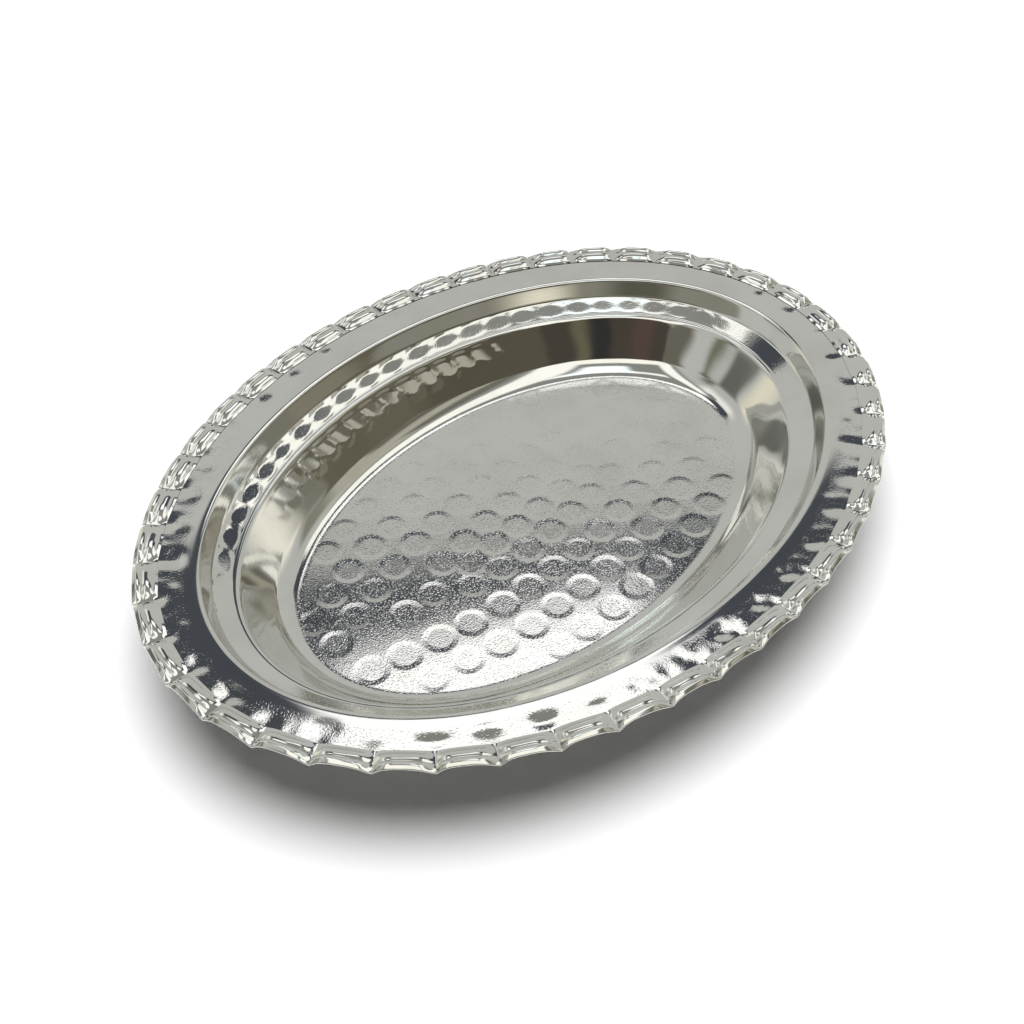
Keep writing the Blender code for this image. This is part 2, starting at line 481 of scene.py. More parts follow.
def flange_blows(border, sheet, marks, stations, turn, inset):
    """How far the hammer pushed the flange down, and what share of the flutes it left.

    Oval dents lie at the cusps, each with a depth of its own. Those in front are tilted across the
    flange, each by its own amount, and those on the right along it, round a raised core.
    """
    flutes, wide = border.flutes, sheet.flange_width
    cusp_shift, flattening = 0.55, 0.85
    row_place, row_stray = 0.52, 0.06
    half_length, length_scatter = 0.38, 0.16
    front_slope, right_slope, flute_length, core_rise = 0.09, 0.06, 0.0122, 0.00006
    along = turn + cusp_shift / flutes
    number = np.floor(flutes * along)
    across = inset - (border.width + (row_place + row_stray * scatter(number, 7)) * wide)
    fill = half_length + length_scatter * scatter(number, 483)
    dents, offset = row_of_dents(along, across, flutes, fill=fill, width=0.76 * wide, edge=0.4)
    cores, _ = row_of_dents(along, across, flutes, fill=0.13, width=0.3 * wide, edge=0.0)
    front = stretch(stations, FRONT_OF_FLANGE)
    right = stretch(stations, RIGHT_OF_FLANGE)
    front_tilt = front_slope * np.clip(2.0 * scatter(number, 177), -0.3, 1.0) * across
    right_tilt = right_slope * flute_length * offset + core_rise * cores
    depth = np.clip(1.6 * scatter(number, 9), -0.7, 1.0) * (1.0 - right)
    pushed = marks.flange_depth * dents * depth - dents * (front * front_tilt + right * right_tilt)
    return pushed, 1.0 - flattening * (front + right) * dents


def ledge_blows(sheet, marks, lines, stations, turn, inset):
    """How far the hammer pushed the ledge down: a row of oval dents whose floors tilt outwards.

    They are deep at the back and on the left, and weak on the right.
    """
    wide, weak, turning_line = sheet.ledge_width, 0.32, 0.1
    across = inset - lines.ledge_start - 0.5 * wide
    dents, _ = row_of_dents(turn, across, marks.ledge_count, fill=0.5, width=0.95 * wide, edge=0.8)
    blows = stretch(stations, BACK_OF_LEDGE) + weak * stretch(stations, RIGHT_OF_LEDGE)
    return marks.ledge_depth * blows * dents * (turning_line - across / wide)


def wall_blows(marks, lines, stations, turn, inset):
    """How far the hammer pushed the wall in under the bead: a row of slanted facets.

    Across goes from -0.5 to 0.5 over a facet's height. The push falls evenly with across and with
    the squares of both places, and it is less at the seams between neighbours.
    """
    facet_height, slant, seam, lift = 0.0036, 0.4, 0.16, 0.12
    hollow_across, hollow_along = 0.25, 0.6
    top_edge, seam_edge = (-0.0002, 0.0006), (0.3, 0.5)
    count = marks.wall_count
    below = inset - lines.wall_start
    across = (below - 0.5 * facet_height) / facet_height
    along = turn + slant * across / count
    facets, offset = row_of_dents(along, across, count, fill=0.6, width=1.4, edge=0.72)
    facets = facets * smooth_step(*top_edge, below)
    seams = seam * smooth_step(*seam_edge, np.abs(offset))
    hollow = hollow_across * across**2 + hollow_along * offset**2 - lift
    blows = stretch(stations, BACK_OF_WALL)
    return marks.wall_depth * blows * facets * (-across - hollow - seams)


def wall_waves(marks, lines, turn, inset):
    """Slow unevenness of a wall finished by hand: the mean of three sines that lean across."""
    centimetre, fade_in, fade_out = 0.01, 0.001, 0.0015
    across = (inset - lines.flange_end) / centimetre
    waves = 0.0
    for count, lean, start in ((11.0, 0.6, 0.0), (17.0, -0.8, 0.4), (29.0, 1.1, 0.8)):
        waves = waves + np.sin(2.0 * math.pi * (count * turn + lean * across + start))
    wavy = smooth_step(0.0, fade_in, inset - lines.wall_start)
    wavy = wavy * (1.0 - smooth_step(-fade_out, 0.0, inset - lines.wall_end))
    return marks.wave_height * wavy * waves / 3.0


# Meshes


def grid_faces(rows, columns):
    """Four-cornered faces of a grid whose last column joins its first one."""
    row = np.arange(rows - 1)[:, None] * columns
    column = np.arange(columns)[None, :]
    after = (column + 1) % columns
    corners = (row + column, row + after, row + columns + after, row + columns + column)
    return np.stack(corners, axis=-1).reshape(-1, 4)


def fan_faces(first, columns, pole):
    """Three-cornered faces from a ring of points to the pole that closes it."""
    column = np.arange(columns)
    return np.stack((first + column, first + (column + 1) % columns, np.full(columns, pole)), axis=-1)


def add_values(mesh, domain, values):
    """Give the mesh's points or faces named numbers that its material reads."""
    for label, numbers in values.items():
        layer = mesh.attributes.new(label, "FLOAT", domain)
        layer.data.foreach_set("value", np.asarray(numbers, np.float32).ravel())


def make_piece(name, node, points, faces, material):
    """Put the points and faces into a smooth mesh that stands for its CAD node."""
    mesh = bpy.data.meshes.new(name)
    mesh.from_pydata(points.tolist(), [], faces)
    mesh.update()
    mesh.shade_smooth()
    mesh.set_sharp_from_angle(angle=SMOOTH_ANGLE)
    mesh.materials.append(material)
    piece = bpy.data.objects.new(name, mesh)
    bpy.context.scene.collection.objects.link(piece)
    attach(piece, "root")
    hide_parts(node)
    return piece


# Materials


class NodeTable:
    """A short way to add nodes to a material or a world and to link them."""

    def __init__(self, tree):
        self.tree = tree

    def add(self, kind, settings=None, **inputs):
        """Add a node. Inputs are named by its sockets, and hold a value or another node's socket."""
        node = self.tree.nodes.new(kind)
        for label, value in (settings or {}).items():
            setattr(node, label, value)
        for label, value in inputs.items():
            self.feed(node, label, value)
        return node

    def feed(self, node, label, value):
        """Set a socket, by name or by number, to a value, or link another node's socket to it."""
        socket = node.inputs[int(label) if label.isdigit() else label]
        if isinstance(value, bpy.types.NodeSocket):
            self.tree.links.new(value, socket)
        else:
            socket.default_value = value

    def math(self, operation, *values):
        """A Math node's result for one to three values or sockets."""
        node = self.add("ShaderNodeMath", {"operation": operation})
        for number, value in enumerate(values):
            self.feed(node, str(number), value)
        return node.outputs[0]

    def value(self, label):
        """A named number of the mesh's points or faces."""
        return self.add("ShaderNodeAttribute", {"attribute_name": label}).outputs["Fac"]

    def ramp(self, value, low, high, to_low=0.0, to_high=1.0, kind="SMOOTHSTEP"):
        """A ramp of a value from low to high, soft unless another kind is named."""
        node = self.add("ShaderNodeMapRange", {"interpolation_type": kind})
        for number, given in enumerate((value, low, high, to_low, to_high)):
            self.feed(node, str(number), given)
        return node.outputs[0]

    def noise(self, vector, scale, detail, roughness=0.5):
        """A noise of the given number of features to a metre."""
        settings = {"Scale": scale, "Detail": detail, "Roughness": roughness}
        return self.add("ShaderNodeTexNoise", Vector=vector, **settings).outputs["Fac"]

    def relief(self, height, strength, depth, under=None):
        """A Bump node's normal for a height, on top of the relief under it."""
        node = self.add("ShaderNodeBump", Distance=depth, Height=height, Strength=strength)
        if under:
            self.feed(node, "Normal", under)
        return node.outputs[0]

    def blend(self, factor, first, second, label=""):
        """A mix of two colours, with a label for whoever reads the nodes."""
        node = self.add("ShaderNodeMix", {"data_type": "RGBA", "label": label})
        self.feed(node, "0", factor)
        self.feed(node, "6", first)
        self.feed(node, "7", second)
        return node.outputs[2]


def silver_material(name, finish, dent_rim):
    """Bright silver-coloured metal: cloudy polish, fine polishing lines, sandy grain where hammered.

    The grain's strength and the place across the rim come from the mesh's own attributes, so that
    the polishing lines follow the rim. Where the metal has dents, each face knows its dent's
    centre and radius, and the crisp rim, dent_rim high, is a straight ramp of the distance from there.
    """
    material = bpy.data.materials.new(name)
    material.use_nodes = True
    table = NodeTable(material.node_tree)
    shader = material.node_tree.nodes["Principled BSDF"]
    place = table.add("ShaderNodeTexCoord").outputs["Object"]
    grain = table.value("grain")
    across = table.value("across")
    cloud = table.noise(place, scale=60.0, detail=4.0, roughness=0.6)
    fine = table.noise(place, scale=3000.0, detail=1.0)
    pits = table.noise(place, scale=700.0, detail=3.0, roughness=0.55)
    pricks = table.ramp(table.noise(place, scale=2300.0, detail=0.0), low=0.52, high=0.80)

    # Polishing lines are a noise that is drawn out along the rim
    parts = table.add("ShaderNodeSeparateXYZ", Vector=place)
    turn = table.math("ARCTAN2", parts.outputs["Y"], parts.outputs["X"])
    drawn_out = 0.004
    drawn = table.add("ShaderNodeCombineXYZ", X=table.math("MULTIPLY", turn, drawn_out), Y=across)
    lines = table.noise(drawn.outputs[0], scale=4200.0, detail=2.0, roughness=0.6)

    tarnished = table.ramp(cloud, low=0.35, high=0.75, to_high=0.45)
    shade = table.blend(tarnished, (*finish.silver, 1.0), (*finish.tarnish, 1.0))
    # Underneath, the colour darkens: partly a duller finish, partly painted shade that keeps the shadow
    # under the dish dark
    dull_and_shaded = table.value("dull_and_shaded")
    table.feed(shader, "Base Color", table.blend(dull_and_shaded, shade, (*finish.underside, 1.0)))
    shader.inputs["Metallic"].default_value = 1.0
    wear, dullness, least = 0.03, 0.3, 0.03
    rough = table.math("MULTIPLY_ADD", grain, finish.hammered - finish.polish, finish.polish)
    for pattern in (lines, cloud):
        rough = table.math("MULTIPLY_ADD", table.math("SUBTRACT", pattern, 0.5), wear, rough)
    rough = table.math("MULTIPLY_ADD", dull_and_shaded, dullness, rough)
    table.feed(shader, "Roughness", table.math("MAXIMUM", rough, least))

    lined = 0.3
    strength = table.math("MULTIPLY_ADD", grain, -lined, lined)
    normal = table.relief(lines, strength, depth=0.00001)
    normal = table.relief(pits, strength=0.015, depth=0.00004, under=normal)
    for pattern, grained in ((fine, 0.38), (pricks, 0.42)):
        strength = table.math("MULTIPLY", grain, grained)
        normal = table.relief(pattern, strength, depth=0.00002, under=normal)
    if dent_rim:
        away_x = table.math("SUBTRACT", parts.outputs["X"], table.value("dent_x"))
        away_y = table.math("SUBTRACT", parts.outputs["Y"], table.value("dent_y"))
        square = table.math("MULTIPLY_ADD", away_x, away_x, table.math("MULTIPLY", away_y, away_y))
        distance = table.math("DIVIDE", table.math("SQRT", square), table.value("dent_radius"))
        rim = table.ramp(distance, low=0.68, high=1.0, kind="LINEAR")
        normal = table.relief(rim, strength=1.0, depth=dent_rim, under=normal)
    table.feed(shader, "Normal", normal)
    return material


# The pieces


class MEZE_OT_dish_body(bpy.types.Operator):
    """Build the pressed sheet with its shoulder, hammered ledge, bead, wall and hammered base"""

    bl_idname = "meze.dish_body"
    bl_label = "Dish Body"

    def execute(self, context):
        dish = context.scene.meze_dish
        points, faces, point_values, face_values = dish_surface(dish)
        material = silver_material("hammered_silver", dish.finish, dish.marks.rim_depth)
        piece = make_piece("hammered_dish", "dish_body", points, faces, material)
        add_values(piece.data, "POINT", point_values)
        add_values(piece.data, "FACE", face_values)
        return {"FINISHED"}


def sheet_lines(sheet, border):
    """Insets at which the sheet's parts start or end: the profile's runs added up from the rim."""
    lines = SimpleNamespace(flange_end=border.width + sheet.flange_width)
    lines.ledge_start = lines.flange_end + sheet.shoulder_width + sheet.step_run
    lines.ledge_end = lines.ledge_start + sheet.ledge_width
    lines.wall_start = lines.ledge_end + sheet.bead_width
    lines.wall_end = lines.wall_start + sheet.wall_run
    return lines


def sheet_top(dish, lines, fine_profile, stations, turn):
    """Insets and points of the sheet's top, from the flange's edge to the base's.

    To the profile's height are added the flutes that run on into the flange and the wall's slow
    waves, and what the hammer pushed down is taken off.
    """
    sheet, border, marks = dish.sheet, dish.border, dish.marks
    busy = (lines.ledge_start, lines.wall_start + 0.5 * sheet.wall_run)
    inset, height, _ = pick_rows(*fine_profile, BODY_PROFILE_ROWS, busy)
    inset = inset[:, None]
    flange, left_over = flange_blows(border, sheet, marks, stations, turn, inset)
    z = height[:, None] + flange_flutes(border, sheet, stations, turn, inset) * left_over - flange
    z = z - ledge_blows(sheet, marks, lines, stations, turn, inset)
    z = z - wall_blows(marks, lines, stations, turn, inset)
    z = z + wall_waves(marks, lines, turn, inset)
    x, y = oval(stations, inset)
    return inset[:, 0], np.stack((x, y, z), axis=-1)


def sheet_underside(dish, fine_profile, stations, turn):
    """Insets and points of the underside, from the base's edge to the flange's.

    The profile is moved square to itself by the sheet's thickness.
    """
    thickness = dish.sheet.sheet
    fine_inset, fine_height = fine_profile
    rows = pick_rows(fine_inset[::-1], fine_height[::-1], BODY_UNDERSIDE_ROWS, (0.0, 0.0))
    inset, height, heading = [values[:, None] for values in rows]
    x, y = oval(stations, inset - thickness * np.sin(heading))
    z = np.broadcast_to(height - thickness * np.abs(np.cos(heading)), x.shape)
    z = z + flange_flutes(dish.border, dish.sheet, stations, turn, inset)
    return inset[:, 0], np.stack((x, y, z), axis=-1)


def dish_surface(dish):
    """Points, faces and attributes of the whole sheet, as one closed skin.

    Rows go underneath from the base's edge out to the flange's, then on top down the profile and in
    over the base, whose rows are its edge oval scaled down. Fans close both middles. Each face of
    the base knows its dent, and the others have one that is far away.
    """
    columns = dish.border.flutes * BODY_COLUMNS_PER_FLUTE
    turn = (np.arange(columns) / columns)[None, :]
    stations = rim_stations(turn, dish.border.first_cusp)
    lines = sheet_lines(dish.sheet, dish.border)
    fine_profile = sheet_profile(dish.sheet, dish.border.width)
    depth = -fine_profile[1][-1]
    inset, top = sheet_top(dish, lines, fine_profile, stations, turn)
    under_inset, underside = sheet_underside(dish, fine_profile, stations, turn)

    scale = (1.0 - np.arange(1, BODY_BASE_ROWS + 1) / (BODY_BASE_ROWS + 1.0))[:, None]
    base_x = scale * top[-1, :, 0]
    base_y = scale * top[-1, :, 1]
    edge_x = RIM_HALF_LENGTH - inset[-1]
    edge_y = RIM_HALF_WIDTH - inset[-1]
    dents = base_dents(dish.marks, edge_x, edge_y)
    fade_start = 0.975
    edge_fade = 1.0 - smooth_step(fade_start, 1.0, scale)
    hollows = dent_depth(base_x, base_y, dish.marks, dents) * edge_fade
    base = np.stack((base_x, base_y, -depth - hollows), axis=-1)

    thickness = dish.sheet.sheet
    middles = [[0.0, 0.0, -depth - hollows[-1].mean()], [0.0, 0.0, -depth - thickness]]
    rings = np.concatenate((underside, top, base))
    points = np.concatenate((rings.reshape(-1, 3), middles))
    points[:, 2] += depth + thickness
    grid = grid_faces(len(rings), columns)
    faces = grid.tolist()
    faces += fan_faces((len(rings) - 1) * columns, columns, len(points) - 2).tolist()
    faces += fan_faces(0, columns, len(points) - 1)[:, ::-1].tolist()

    face_x, face_y = points[grid, 0].mean(axis=1), points[grid, 1].mean(axis=1)
    near_x, near_y, near_radius = nearest_dents(face_x, face_y, dents)
    on_base = np.arange(len(grid)) >= (len(underside) + len(top) - 1) * columns
    far_away = np.full(2 * columns, 1.0)
    face_values = {
        "dent_x": np.concatenate((np.where(on_base, near_x, 1.0), far_away)),
        "dent_y": np.concatenate((near_y, far_away)),
        "dent_radius": np.concatenate((near_radius, 0.001 * far_away)),
    }

    ledge_grain, flange_grain, under_grain = 0.4, 0.6, 0.5
    ledge_edge, base_edge, flange_edge = 0.0004, 0.002, 0.001
    on_ledge = smooth_step(0.0, ledge_edge, inset - lines.ledge_start)
    on_ledge = on_ledge * (1.0 - smooth_step(-ledge_edge, 0.0, inset - lines.ledge_end))
    near_base = smooth_step(-base_edge, 0.0, inset - inset[-1])
    on_flange = 1.0 - smooth_step(-flange_edge, 0.0, inset - lines.flange_end)
    top_grain = ledge_grain * on_ledge + near_base + flange_grain * on_flange
    grain = np.concatenate((np.full(len(underside), under_grain), top_grain, np.ones(len(base))))
    across = np.concatenate((under_inset, inset, inset[-1] + edge_y * (1.0 - scale[:, 0])))
    # The rows underneath are marked dull and painted darker as shade
    dull_and_shaded = np.arange(len(rings)) < len(underside)
    point_values = {
        "grain": np.concatenate((np.repeat(grain, columns), [1.0, under_grain])),
        "across": np.concatenate((np.repeat(across, columns), [across[-1], 0.0])),
        "dull_and_shaded": np.concatenate((np.repeat(dull_and_shaded, columns), [0.0, 1.0])),
    }
    return points, faces, point_values, face_values


class MEZE_OT_rim_border(bpy.types.Operator):
    """Build the fluted border strip with its two reeds and its turned-down lip"""

    bl_idname = "meze.rim_border"
    bl_label = "Rim Border"

    def execute(self, context):
        dish = context.scene.meze_dish
        points, faces, across, dull_and_shaded = border_surface(dish.border, dish.sheet)
        material = silver_material("border_silver", dish.finish, None)
        piece = make_piece("reeded_border", "rim_border", points, faces, material)
        add_values(piece.data, "POINT", {"grain": np.zeros(len(points)), "across": across, "dull_and_shaded": dull_and_shaded})
        return {"FINISHED"}


def border_surface(border, sheet):
    """Points, faces, places across and the dull, shade-darkened underside of the border strip, as one
    closed ring.

    With w from 0 at the scalloped foot to 1 at the lip, the top is a straight ramp up to the outer
    reed and the flute's arch, which grows there as 1 - (1 - w) to a power. On it are two reeds,
    the rounded size of a sine's waves to a power, and past the outer one the strip falls away.
    Reeds and fall fade at the cusps. The section then turns over a small bend into the lip, which
    leans in, goes round the lip's end and back underneath. Columns are crowded at the cusps, at
    f - c sin(2 pi f) / (2 pi) for even places f.
    """
    columns = border.flutes * BORDER_COLUMNS_PER_FLUTE
    even = np.arange(columns)[None, :] / BORDER_COLUMNS_PER_FLUTE
    turn = (even - CUSP_CROWDING * np.sin(2.0 * math.pi * even) / (2.0 * math.pi)) / border.flutes
    stations = rim_stations(turn, border.first_cusp)
    arch = flute_arch(border.flutes * turn)
    pointed = pointed_arch(border.flutes * turn, EDGE_POWER)
    lift = border.flute_rise * arch
    edge_lift = border.edge_rise * pointed

    foot = border.width + border.scallop * (pointed - 0.5)
    foot_lift = flange_flutes(border, sheet, stations, turn, foot)
    edge_inset = border.edge_scallop * pointed
    groove = border.gap + border.metal - border.dip
    w = np.linspace(0.0, 1.0, BORDER_CREST_ROWS)[:, None]
    top_inset = foot + (edge_inset + border.lip_setback - foot) * w
    to_outer_reed = np.clip(w / OUTER_REED_PLACE, 0.0, 1.0)
    edge = FOOT_THICKNESS * border.metal
    ramp = edge + (groove - edge) * to_outer_reed
    growth = 1.0 - (1.0 - to_outer_reed) ** ARCH_GROWTH_POWER

    on_inner = w < REED_GROOVE_PLACE
    inner = np.clip((w - INNER_REED_START) / (REED_GROOVE_PLACE - INNER_REED_START), 0.0, 1.0)
    outer = (w - REED_GROOVE_PLACE) / (2.0 * (OUTER_REED_PLACE - REED_GROOVE_PLACE))
    wave = np.sin(math.pi * np.where(on_inner, inner, np.clip(outer, 0.0, 0.5)))
    fullness = np.where(on_inner, INNER_REED_FULLNESS, OUTER_REED_FULLNESS)
    rounded = (np.sqrt(wave**2 + REED_ROUNDING**2) - REED_ROUNDING) / (1.0 - REED_ROUNDING)
    reeds = border.reed_height * rounded**fullness * np.minimum(REED_GROWTH * arch, 1.0)
    beyond = border.width * (w - FALL_PLACE)
    slope = 0.5 * FALL_SLOPE * np.minimum(FALL_GROWTH * arch, 1.0)
    fall = slope * (np.hypot(beyond, FALL_ROUNDING) + beyond)
    top = ramp + reeds + lift * growth + foot_lift * (1.0 - growth) - fall

    fall_angle = math.atan(FALL_SLOPE)
    bend = np.linspace(fall_angle, 0.5 * math.pi, BORDER_LIP_ROWS)[1:, None]
    bend_radius = border.lip_setback / (1.0 - math.sin(fall_angle))
    lip_inset = edge_inset + bend_radius * (1.0 - np.sin(bend))
    lip = top[-1] - bend_radius * (math.cos(fall_angle) - np.cos(bend))

    end = groove + border.reed_height - border.lip_height
    half = 0.5 * border.metal
    end_rows = 5
    around = np.linspace(0.0, math.pi, end_rows)[:, None]
    end_inset = edge_inset + LIP_LEAN + half - half * np.cos(around)
    end_height = end + half - half * np.sin(around) + edge_lift

    back = np.linspace(0.0, 1.0, BORDER_UNDERSIDE_ROWS)[1:, None]
    back_start = edge_inset + LIP_LEAN + border.metal
    back_inset = back_start + (foot - FOOT_UNDERCUT - back_start) * back
    back_lift = (1.0 - back) * lift + back * foot_lift
    back_height = (groove - border.metal) * (1.0 - back) ** 2 + back_lift - FOOT_SINK * back

    inset = np.concatenate((top_inset, lip_inset, end_inset, back_inset))
    height = np.concatenate((top, lip, end_height, back_height)) + flange_height(sheet)
    x, y = oval(stations, inset)
    points = np.stack((x, y, height), axis=-1)
    rows = len(points)
    # The rows underneath are marked dull and painted darker as shade
    dull_and_shaded = np.arange(rows) >= rows - len(back)
    ring = np.arange(rows * columns).reshape(rows, columns)
    ring = np.concatenate((ring, ring[:1]))
    after = np.roll(ring, -1, axis=1)
    corners = (ring[:-1], ring[1:], after[1:], after[:-1])
    faces = np.stack(corners, axis=-1).reshape(-1, 4)[:, ::-1].tolist()
    return points.reshape(-1, 3), faces, inset.ravel(), np.repeat(dull_and_shaded, columns)


# The studio


class TentPanel(NamedTuple):
    """A soft-edged card or light on the tent, with its place in degrees as the dish sees it.

    Side is the angle to the right of the plane that the camera looks along. Low and high are turns
    in that plane, from ahead over the top to behind. Lean is the drop for each degree to the right.
    """

    name: str
    side: float
    half_width: float
    low: float
    high: float
    softness: float
    colour: tuple
    lean: float = 0.0


TENT_PANELS = [
    TentPanel(*row)
    for row in (
        ("dim cloth behind the camera", 0, 90, 131, 200, 4, (0.28, 0.27, 0.225)),
        ("olive cloth on the right", 74, 14, 8, 75, 9, (0.22, 0.21, 0.17)),
        ("dark card on the right", 51, 9, 48, 68, 4, (0.28, 0.27, 0.22)),
        ("pale card on the right", 45, 10, 66, 120, 7, (0.5, 0.48, 0.4)),
        ("dim card on the right", 52.5, 4.5, 82, 122, 2.5, (0.17, 0.16, 0.13)),
        ("narrow dim card on the right", 37, 3.5, 82, 122, 2, (0.19, 0.185, 0.155)),
        ("olive card on the right", 68, 12, 62, 133, 2.5, (0.15, 0.14, 0.1)),
        ("tan card on the right", 83, 9, 50, 136, 3, (0.25, 0.235, 0.18)),
        ("dark card on the left", -47, 8, 82, 96, 6, (0.2, 0.2, 0.185)),
        ("grey card on the left", -62, 7, 40, 84, 7, (0.15, 0.15, 0.135)),
        ("light on the left", -32, 6, 48, 80, 6, (1.05, 1.05, 1.0)),
        ("grey cloth overhead", 4, 30, 62, 131, 3, (0.3, 0.3, 0.285)),
        ("dark gap ahead", 0, 25, 46.5, 62, 1.2, (0.07, 0.078, 0.092), 0.14),
        ("light bar ahead", -2, 10.5, 51.5, 64, 1.6, (1.4, 1.4, 1.4), 0.27),
        ("light ahead on the right", 9.5, 3.5, 55.5, 64, 1.2, (1.3, 1.3, 1.3), 0.27),
        ("dark gap on the right", 17, 4.5, 57, 66, 1.2, (0.13, 0.14, 0.15)),
        ("top of the dark gap", 0, 30, 62.5, 70, 1.2, (0.28, 0.28, 0.265)),
        ("light bar on the left", -18.5, 4, 66, 128, 1.5, (1.25, 1.25, 1.2)),
        ("light bar on the right", 25, 6, 53, 126, 1.5, (1.25, 1.24, 1.16)),
        ("light bar behind", 4, 27, 114, 126, 1.2, (1.25, 1.23, 1.12)),
        ("light strip overhead", 4, 15, 84.5, 91.5, 1.5, (1.2, 1.2, 1.15)),
        ("lamp overhead", 9, 7, 84, 107, 2, (1.35, 1.5, 1.52)),
        ("dark cloth behind on the right", 41, 17, 117, 145, 2, (0.11, 0.1, 0.072), 0.5),
        ("dark cloth behind on the left", -27, 8, 122, 145, 4, (0.16, 0.15, 0.12), -0.4),
        ("dark cloth behind", 5, 26, 127.5, 145, 1.2, (0.072, 0.062, 0.05)),
        ("brown slit behind", 20, 2.5, 128, 145, 2, (0.15, 0.14, 0.09)),
        ("black slit behind", 12.5, 3.5, 128, 145, 2, (0.038, 0.038, 0.038)),
        ("red-brown slit behind", -7, 5, 128, 145, 3, (0.1, 0.07, 0.058)),
        ("dark slit on the left", -51, 4, 96, 112, 4, (0.19, 0.19, 0.14)),
        ("dark cloth under the camera", -5, 14, 146, 178, 8, (0.12, 0.115, 0.085)),
        ("cream light behind on the right", 33, 8, 150, 172, 7, (1.05, 1.0, 0.82)),
        ("cream light on the right", 57, 6, 4, 38, 6, (1.0, 0.97, 0.86)),
        ("cream light on the left", -50, 7, 2, 34, 7, (0.9, 0.86, 0.7)),
    )
]


class MEZE_OT_studio(bpy.types.Operator):
    """Build the pale floor, the soft studio light and the camera"""

    bl_idname = "meze.studio"
    bl_label = "Studio"

    def execute(self, context):
        studio = context.scene.meze_dish.studio
        build_floor(studio)
        build_world(context.scene, studio)
        build_tent(context.scene, studio)
        build_softbox(context.scene, studio)
        build_camera(context.scene, studio)
        context.scene.view_settings.view_transform = "Standard"
        return {"FINISHED"}


def build_floor(studio):
    """A plain pale floor that keeps the dish's shadow."""
    half = 0.5 * studio.floor_size
    mesh = bpy.data.meshes.new("floor")
    low = -0.0002
    corners = [(-half, -half, low), (half, -half, low), (half, half, low), (-half, half, low)]
    mesh.from_pydata(corners, [], [(0, 1, 2, 3)])
    material = bpy.data.materials.new("pale_floor")
    material.use_nodes = True
    shader = material.node_tree.nodes["Principled BSDF"]
    shader.inputs["Base Color"].default_value = (*studio.floor, 1.0)
    shader.inputs["Roughness"].default_value = 1.0
    shader.inputs["Specular IOR Level"].default_value = 0.0
    mesh.materials.append(material)
    floor = bpy.data.objects.new("floor", mesh)
    bpy.context.scene.collection.objects.link(floor)


def build_world(scene, studio):
    """Plain soft light from all round, which the camera and the metal see as white."""
    world = bpy.data.worlds.new("studio")
    world.use_nodes = True
    scene.world = world
    table = NodeTable(world.node_tree)
    background = world.node_tree.nodes["Background"]
    path = table.add("ShaderNodeLightPath").outputs
    seen = table.math("MAXIMUM", path["Is Camera Ray"], path["Is Glossy Ray"])
    seen = table.math("MAXIMUM", seen, path["Is Transmission Ray"])
    table.feed(background, "Color", table.blend(seen, (*studio.room, 1.0), (1.0, 1.0, 1.0, 1.0)))
    background.inputs["Strength"].default_value = 1.0


def tent_material(studio):
    """Glow of the light tent: its grey cloth, over which the cards and lights are laid in order."""
    material = bpy.data.materials.new("light_tent")
    material.use_nodes = True
    material.node_tree.nodes.clear()
    table = NodeTable(material.node_tree)
    place = table.add("ShaderNodeTexCoord").outputs["Object"]
    turned = table.add("ShaderNodeVectorRotate", {"rotation_type": "Z_AXIS"}, Vector=place)
    turned.inputs["Angle"].default_value = -studio.camera_azimuth
    parts = table.add("ShaderNodeSeparateXYZ", Vector=turned.outputs[0])
    degrees = 180.0 / math.pi
    across = table.math("DIVIDE", parts.outputs["X"], studio.tent_radius)
    side = table.math("MULTIPLY", table.math("ARCSINE", across), degrees)
    rise = table.math("MULTIPLY", table.math("ARCTAN2", parts.outputs["Z"], parts.outputs["Y"]), degrees)

    light = (*studio.tent, 1.0)
    for panel in TENT_PANELS:
        soft = panel.softness
        offset = table.math("SUBTRACT", side, panel.side)
        away = table.math("ABSOLUTE", offset)
        level = table.math("MULTIPLY_ADD", offset, panel.lean, rise)
        beside = table.ramp(away, panel.half_width - soft, panel.half_width + soft, 1.0, 0.0)
        above = table.ramp(level, panel.low - soft, panel.low + soft)
        below = table.ramp(level, panel.high - soft, panel.high + soft, 1.0, 0.0)
        mask = table.math("MULTIPLY", table.math("MULTIPLY", beside, above), below)
        light = table.blend(mask, light, (*panel.colour, 1.0), panel.name)
    glow = table.add("ShaderNodeEmission", Color=light)
    output = table.add("ShaderNodeOutputMaterial")
    table.feed(output, "Surface", glow.outputs[0])
    return material


def build_tent(scene, studio):
    """A half-round light tent over the dish that only the metal's reflections see.

    Its rows are circles of latitude, from just under the floor up to the pole overhead.
    """
    columns, rows = 96, 24
    low, high = math.radians(-2.0), math.radians(88.0)
    turn = (2.0 * math.pi * np.arange(columns) / columns)[None, :]
    up = np.linspace(low, high, rows)[:, None] * np.ones_like(turn)
    flat = np.cos(up)
    ball = np.stack((flat * np.cos(turn), flat * np.sin(turn), np.sin(up)), axis=-1)
    points = studio.tent_radius * np.concatenate((ball.reshape(-1, 3), [[0.0, 0.0, 1.0]]))
    faces = grid_faces(rows, columns).tolist()
    faces += fan_faces((rows - 1) * columns, columns, rows * columns).tolist()
    mesh = bpy.data.meshes.new("light_tent")
    mesh.from_pydata(points.tolist(), [], faces)
    mesh.materials.append(tent_material(studio))
    tent = bpy.data.objects.new("light_tent", mesh)
    scene.collection.objects.link(tent)
    tent.visible_camera = False
    tent.visible_diffuse = False
    tent.visible_shadow = False
    tent.visible_transmission = False


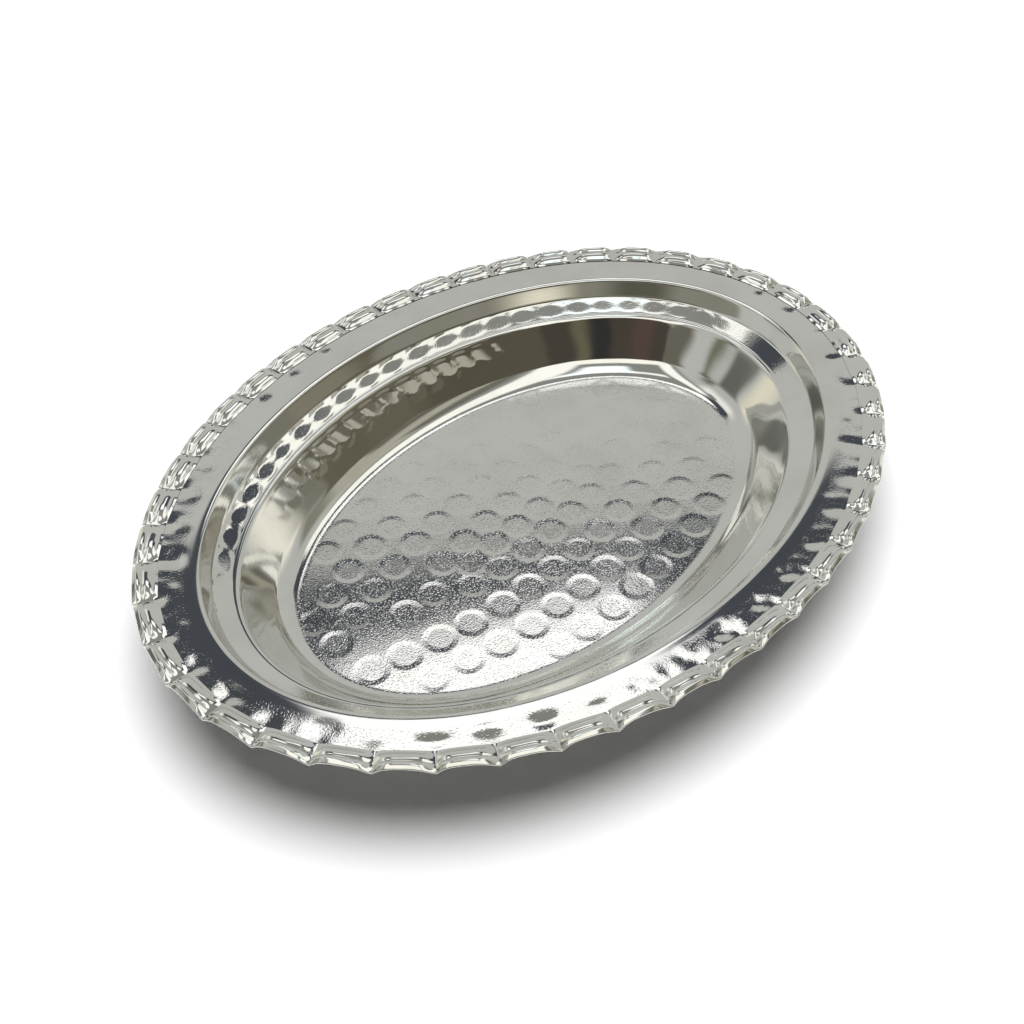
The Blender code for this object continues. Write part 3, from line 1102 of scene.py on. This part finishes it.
def build_softbox(scene, studio):
    """A soft lamp above and behind the dish, which lights the floor and stays out of the metal."""
    lamp = bpy.data.lights.new("softbox", "AREA")
    lamp.shape = "DISK"
    lamp.size = studio.softbox_size
    lamp.energy = studio.softbox_power
    softbox = bpy.data.objects.new("softbox", lamp)
    turn = Matrix.Rotation(studio.camera_azimuth, 4, "Z")
    tilt = Matrix.Rotation(studio.softbox_elevation - 0.5 * math.pi, 4, "X")
    softbox.matrix_world = turn @ tilt @ Matrix.Translation((0.0, 0.0, studio.softbox_distance))
    softbox.visible_glossy = False
    scene.collection.objects.link(softbox)


def build_camera(scene, studio):
    """A camera at the given place, turned by azimuth, elevation and roll."""
    azimuth, elevation, roll = studio.camera_azimuth, studio.camera_elevation, studio.camera_roll
    turn = Matrix.Rotation(azimuth, 4, "Z") @ Matrix.Rotation(0.5 * math.pi - elevation, 4, "X")
    camera = bpy.data.objects.new("camera", bpy.data.cameras.new("camera"))
    camera.data.sensor_width = 36.0
    camera.data.lens = studio.lens
    camera.data.clip_start = 0.01
    camera.matrix_world = Matrix.Translation(studio.camera_place) @ turn @ Matrix.Rotation(roll, 4, "Z")
    scene.collection.objects.link(camera)
    scene.camera = camera


class MEZE_PT_dish(bpy.types.Panel):
    """Everything of the meze dish, in the 3D view's sidebar"""

    bl_idname = "MEZE_PT_dish"
    bl_label = "Meze Dish"
    bl_space_type = "VIEW_3D"
    bl_region_type = "UI"
    bl_category = "Meze Dish"

    def draw(self, context):
        layout = self.layout
        dish = context.scene.meze_dish
        for operator in OPERATORS:
            layout.operator(operator.bl_idname)
        for group in (dish.sheet, dish.border, dish.marks, dish.finish, dish.studio):
            box = layout.box()
            for label in group.__annotations__:
                box.prop(group, label)


GROUPS = (MezeSheetSizes, MezeBorderSizes, MezeHammerMarks, MezeFinish, MezeStudio, MezeDish)
OPERATORS = (MEZE_OT_dish_body, MEZE_OT_rim_border, MEZE_OT_studio)
CLASSES = GROUPS + OPERATORS + (MEZE_PT_dish,)


def register():
    """Make the dish's settings, operators and panel known to Blender."""
    for item in CLASSES:
        bpy.utils.register_class(item)
    bpy.types.Scene.meze_dish = PointerProperty(type=MezeDish)


def unregister():
    """Take the dish's settings, operators and panel out of Blender."""
    del bpy.types.Scene.meze_dish
    for item in reversed(CLASSES):
        bpy.utils.unregister_class(item)


def main():
    """Build the dish and the studio."""
    register()
    bpy.ops.meze.dish_body()
    bpy.ops.meze.rim_border()
    bpy.ops.meze.studio()


if __name__ == "__main__":
    main()
